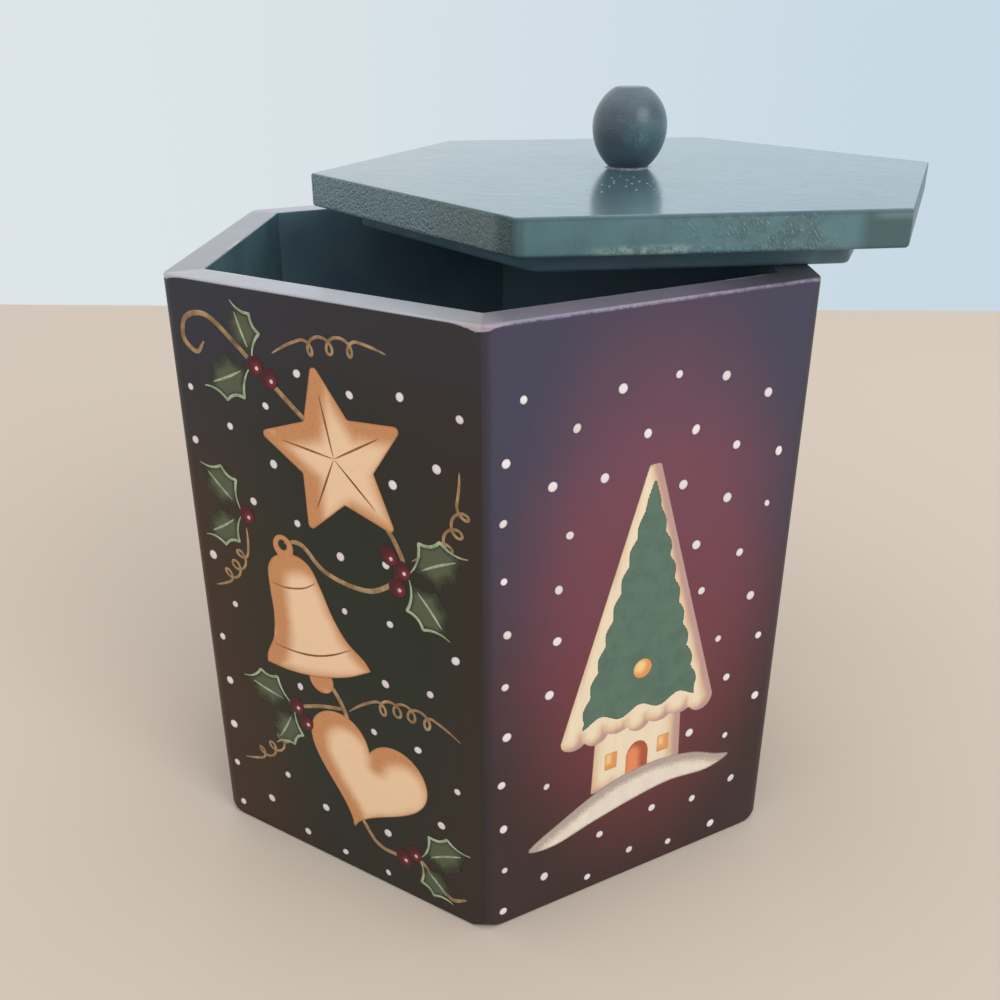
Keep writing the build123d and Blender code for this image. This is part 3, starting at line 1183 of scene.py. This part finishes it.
def chapelParts():
    # its shapes by the name of their piece
    foot, wallTop, half = chapel["foot"], chapel["wallTop"], chapel["wallHalf"]
    roofHalf, eave, top = chapel["roofHalf"], chapel["roofFoot"], chapel["roofTop"]
    wall = patch([(-half, foot), (half, foot), (half - 1, wallTop), (1 - half, wallTop)], 0.3)

    # snow lies on the roof and hangs over its eaves in scallops
    eaves = []
    wide = 2 * roofHalf / chapel["scallops"]
    for k in range(chapel["scallops"]):
        middle = -roofHalf + wide * (k + 0.5)
        droop = 2.6 + 0.9 * sin(2.4 * k)
        angles = np.linspace(pi, 2 * pi, 9)[:-1]
        eaves += [(middle + wide / 2 * cos(a), eave + droop * sin(a)) for a in angles]
    snow = patch(eaves + [(roofHalf, eave), (1.1, top), (-1.1, top)], 0.9)

    # the green of the roof, with a wavy outline inside the snow
    left, right = [], []
    for t in np.linspace(0, 1, 60):
        wave = (1.3 * abs(sin(9 * pi * t)) - 0.2) * min(1.0, (1 - t) * 4)
        side = (roofHalf - 5.6) * (1 - t) * 0.97 + wave
        up = eave + 4.6 + (top - eave - 8.5) * t
        left.append((-side, up))
        right.append((side * 0.98 + 0.4, up))
    lowest = [((roofHalf - 6) * s, eave + 3.6 + 1.3 * cos(9 * s)) for s in np.linspace(-1, 1, 25)]
    green = patch(lowest + right + left[::-1], 0.4)

    # a door with a round head, a window on each side of it and one in the roof
    wide, high = chapel["doorHalf"], foot + chapel["doorHeight"]
    head = [(wide * cos(a), high + chapel["doorHead"] * sin(a)) for a in np.linspace(0.2, pi - 0.2, 9)]
    door = patch([(-wide, foot), (wide, foot), (wide, high)] + head + [(-wide, high)], 0.2)
    low, high = foot + chapel["windowFrom"], foot + chapel["windowTo"]
    windows = []
    for middle in (-chapel["windowAside"], chapel["windowAside"]):
        near, far = middle - chapel["windowHalf"], middle + chapel["windowHalf"]
        windows.append(patch([(near, low), (far, low), (far, high), (near, high)], 0.3))
    windows.append(disc((0.0, eave + chapel["roofWindowUp"]), chapel["roofWindow"]))
    return {
        "chapel_walls": [wall],
        "chapel_snow": [snow],
        "chapel_roofs": [green],
        "chapel_doors": [door],
        "chapel_windows": windows,
        "snow_banks": [patch(smoothLine(chapel["bank"], 6, closed=True), 0.3)],
    }


def wallPaint():
    # cream over tan, drawn down in streaks, with a soft lavender edge
    bench, point, edge, shade = newFilm("chapel wall paint")
    streak = bench.noise(point, 1.0, 4, 0.6, stretch=(2.6, 2.6, 22))
    cloud = bench.noise(point, 0.3, 3, 0.6)
    tone = bench.layered(
        chapelShades["wall"],
        ((streak * 0.7 + shade * 0.6).rise(0.3, 1.0), chapelShades["wallDark"]),
        (shade.rise(0.55, 1.0) * 0.6, chapelShades["lavender"]),
    )
    return bench.finish(tone, 0.5 + cloud * 0.06, bench.bump((streak, 0.04)), edge.rise(0.0, 0.35))


def roofPaint():
    bench, point, edge, shade = newFilm("chapel roof paint")
    cloud = bench.noise(point, 0.25, 4, 0.6)
    tone = bench.layered(
        chapelShades["roof"],
        (cloud.rise(0.35, 0.7), chapelShades["roofDark"]),
        (edge.rise(0.5, 0.15), chapelShades["roofEdge"]),
    )
    return bench.finish(tone, 0.5 + cloud * 0.05, bench.bump((cloud, 0.03)))


def bankPaint():
    # cream snow, sprayed over from above with dark specks
    bench, point, edge, shade = newFilm("snow bank paint")
    speck = bench.noise(point, 1.7, 3, 0.6)
    cloud = bench.noise(point, 0.22, 3, 0.6)
    tone = bench.layered(
        chapelShades["bank"],
        (cloud.rise(0.3, 0.75), chapelShades["bankDark"]),
        ((shade * 0.8 + speck * 0.7 - 0.5).rise(0.1, 0.6) * 0.6, chapelShades["spray"]),
        (edge.rise(1.2, 0.2) * 0.35, chapelShades["bankEdge"]),
    )
    return bench.finish(tone, 0.5 + cloud * 0.06, bench.bump((cloud, 0.03)), edge.rise(0.0, 0.7))


def openingPaint(kind):
    # a door or a window, darker towards the side its shading points to
    bench, point, edge, shade = newFilm(kind + " paint")
    cloud = bench.noise(point, 0.5, 3, 0.6)
    tone = bench.layered(
        chapelShades[kind],
        ((shade + cloud * 0.4).rise(0.25, 1.1), chapelShades[kind + "Dark"]),
        (edge.rise(0.35, 0.0) * 0.7, chapelShades["frame"]),
    )
    return bench.finish(tone, 0.48 + cloud * 0.06, bench.bump((cloud, 0.03)))


parts = chapelParts()
cream = wallPaint()
burgundyAreas = [parts[name][0] for name in ("chapel_walls", "chapel_snow", "snow_banks")]
burgundyFacings = list(box["burgundySides"].values())
for name, paint in (
    ("chapel_walls", cream),
    ("chapel_snow", cream),
    ("chapel_roofs", roofPaint()),
    ("chapel_doors", openingPaint("door")),
    ("chapel_windows", openingPaint("window")),
    ("snow_banks", bankPaint()),
):
    shading, *sizes = chapel["films"][name]
    filmPiece(name, burgundyFacings, paint, [(shape, shading) for shape in parts[name]], *sizes)
print("chapel painted")


# Snow on all six sides

snowfall = {
    "apart": 14.2,
    "radius": 1.29,
    "relief": 0.09,
    "clear": 3.0,  # kept free round the ornament
    "edge": 4.5,  # kept free along the edges of a side
    "top": 17.0,
    "grid": 2.0,
    "seeds": {240: 11, 0: 23, 120: 37, -60: 5, 60: 47, 180: 61},
    "white": colour(238, 232, 236),
    "grey": colour(222, 212, 216),
    # shore is painted shade towards a drop's rim, outline a thin painted shadow round it
    "shore": colour(168, 150, 155),
    "outline": colour(34, 28, 28),
}


def dropPaint():
    # a drop of white, greyer towards its rim as painted shade, and ringed thin and dark as a painted shadow
    bench = newPaint("snow drop paint")
    shore, tint = bench.kept("shore"), bench.kept("tint")
    cloud = bench.noise(bench.here(), 1.4, 2, 0.5)
    tone = bench.layered(
        snowfall["white"],
        (tint, snowfall["grey"]),
        (shore.rise(0.62, 0.88) * 0.5, snowfall["shore"]),
        (shore.rise(0.88, 0.97), snowfall["outline"]),
    )
    return bench.finish(tone, 0.4 + cloud * 0.1, bench.bump((cloud, 0.03)))


def markedGround(name, points, faces, free):
    # flat ground to strew on, marked with how free each point is
    ground = bpy.data.meshes.new(name)
    ground.from_pydata([(x * mm, y * mm, 0.0) for x, y in points], [], faces)
    ground.attributes.new("free", "FLOAT", "POINT").data.foreach_set("value", free)
    return ground


def sideGround(name, areas):
    # a side's flat, free where nothing is painted yet
    half, edge, step = box["width"] / 2, snowfall["edge"], snowfall["grid"]
    xs = np.arange(-half + edge, half - edge + 0.1, step)
    ys = np.arange(edge, box["height"] - snowfall["top"], step)
    grid = np.stack(np.meshgrid(xs, ys, indexing="ij"), -1).reshape(-1, 2)
    nearest = np.max([area.distance(grid) for area in areas], axis=0)
    free = (nearest < -snowfall["clear"]).astype(float)
    rows = len(ys)
    faces = []
    for i in range(len(xs) - 1):
        for a in range(i * rows, i * rows + rows - 1):
            face = (a, a + rows, a + rows + 1, a + 1)
            if min(free[corner] for corner in face) > 0:
                faces.append(face)
    return markedGround(name, grid, faces, free)


white = dropPaint()
for name, facings, areas in (
    ("snow_drops_green", greenFacings, greenAreas),
    ("snow_drops_burgundy", burgundyFacings, burgundyAreas),
):
    flats = []
    for facing in facings:
        values = {
            "Apart": snowfall["apart"] * mm,
            "Radius": snowfall["radius"] * mm,
            "Relief": snowfall["relief"],
            "Seed": snowfall["seeds"][facing],
        }
        flats.append(grown(sideGround(name, areas), snowOf, values))
    onSides(name, flats, facings, white)
    print(name, len(flats[0].polygons) // dropFaces, "drops on the first side")


# Crumbs of paint round the knob's foot, and dust that dried into the paint before it

crumbs = {
    # inner and outer radius round the knob's axis, how many lie at each of them,
    # how far they go to each side of the front, how far apart, radius, relief and seed
    "ring": ((6.3, 7.0), (1.0, 0.25), 180, 0.55, 0.24, 0.7, 3),
    "dust": ((20.0, 54.0), (0.9, 0.6), 12, 4.0, 0.34, 0.25, 8),
}


def ringGround(name, radii, shares, reach):
    # flat ground round the knob, free towards its front
    steps, sides, front = 6, 72, -95
    points, free, faces = [], [], []
    for k in range(steps + 1):
        away = radii[0] + (radii[1] - radii[0]) * k / steps
        share = shares[0] + (shares[1] - shares[0]) * k / steps
        for side in range(sides):
            turn = 360 * side / sides - 180
            angle = radians(turn + front)
            points.append((away * cos(angle), away * sin(angle)))
            free.append(share * (abs(turn) <= reach))
    for first in range(0, steps * sides, sides):
        for side in range(sides):
            a, b = first + side, first + (side + 1) % sides
            faces.append((a + sides, b + sides, b, a))
    return markedGround(name, points, faces, free)


crumb = linePaint("crumb")
for name, (radii, shares, reach, apart, radius, relief, seed) in crumbs.items():
    values = {"Apart": apart * mm, "Radius": radius * mm, "Relief": relief, "Seed": seed}
    made = grown(ringGround(name, radii, shares, reach), snowOf, values)
    made.transform(Matrix.Translation((lid["axis"][0] * mm, lid["axis"][1] * mm, lid["boardTop"] * mm)))
    piece = addPiece("lid_" + name, made, crumb)
    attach(piece, "lid")
    print("lid_" + name, len(made.polygons) // dropFaces, "crumbs")


# Floor, world, lamp and camera, in metres

studio = {
    "floor": colour(222, 208, 194),
    "floorDark": colour(214, 199, 184),
    "floorReach": 2.0,
    "floorBack": 0.58,
    "backLeft": colour(221, 229, 232),
    "backRight": colour(200, 217, 229),
    "light": colour(255, 255, 255),
    "worldStrength": 0.86,
    "lampPlace": (0.95, -1.05, 1.0),
    "lampTarget": (0.02, 0.0, 0.12),
    "lampSize": 1.1,
    "lampPower": 8.0,
}
camera = {
    "place": (0.00978, -0.30438, 0.22547),
    "pitch": 24.643,
    "heading": 1.597,
    "lens": 37.88,
    "sensor": 36.0,
}


def makeFloor():
    reach, back = studio["floorReach"], studio["floorBack"]
    mesh = bpy.data.meshes.new("floor")
    corners = [(-reach, -reach, 0), (reach, -reach, 0), (reach, back, 0), (-reach, back, 0)]
    mesh.from_pydata(corners, [], [(0, 1, 2, 3)])
    bench = newPaint("floor")
    point = bench.here()
    cloud = bench.noise(point, 0.004, 2)
    shade = bench.blend(cloud * 0.3, studio["floor"], studio["floorDark"])
    dust = bench.bump((bench.noise(point, 0.3, 3), 0.02))
    floor = addPiece("floor", mesh, bench.finish(shade, 0.65 + cloud * 0.05, dust, ior=1.2))


def makeWorld():
    # a plain backdrop for the camera, and even light for everything else
    world = bpy.data.worlds.new("studio")
    bpy.context.scene.world = world
    world.use_nodes = True
    world.node_tree.nodes.clear()
    bench = Bench(world.node_tree)
    rays = [bench.node("ShaderNodeLightPath", None, None, name)
            for name in ("Is Camera Ray", "Is Glossy Ray", "Is Transmission Ray")]
    seen = rays[0].upper(rays[1]).upper(rays[2])
    side = bench.dot(bench.node("ShaderNodeTexCoord", None, None, "Generated"), (1, 0, 0))
    back = bench.blend(side.rise(-0.45, 0.45), studio["backLeft"], studio["backRight"])
    strength = studio["worldStrength"] + seen * (1 - studio["worldStrength"])
    sky = {"Color": bench.blend(seen, studio["light"], back), "Strength": strength}
    bench.node("ShaderNodeOutputWorld", None, {"Surface": bench.node("ShaderNodeBackground", None, sky)})


def makeLamp():
    data = bpy.data.lights.new("window", "AREA")
    data.shape = "DISK"
    data.size = studio["lampSize"]
    data.energy = studio["lampPower"]
    place = Vector(studio["lampPlace"])
    lamp = addObject("window", data)
    lamp.location = place
    lamp.rotation_euler = (Vector(studio["lampTarget"]) - place).to_track_quat("-Z", "Y").to_euler()


def makeCamera():
    data = bpy.data.cameras.new("camera")
    data.lens = camera["lens"]
    data.sensor_width = camera["sensor"]
    data.clip_start = 0.01
    item = addObject("camera", data)
    item.location = camera["place"]
    item.rotation_euler = (radians(90 - camera["pitch"]), 0, radians(camera["heading"]))
    bpy.context.scene.camera = item


makeFloor()
makeWorld()
makeLamp()
makeCamera()
bpy.context.scene.view_settings.view_transform = "Standard"
print("studio ready")
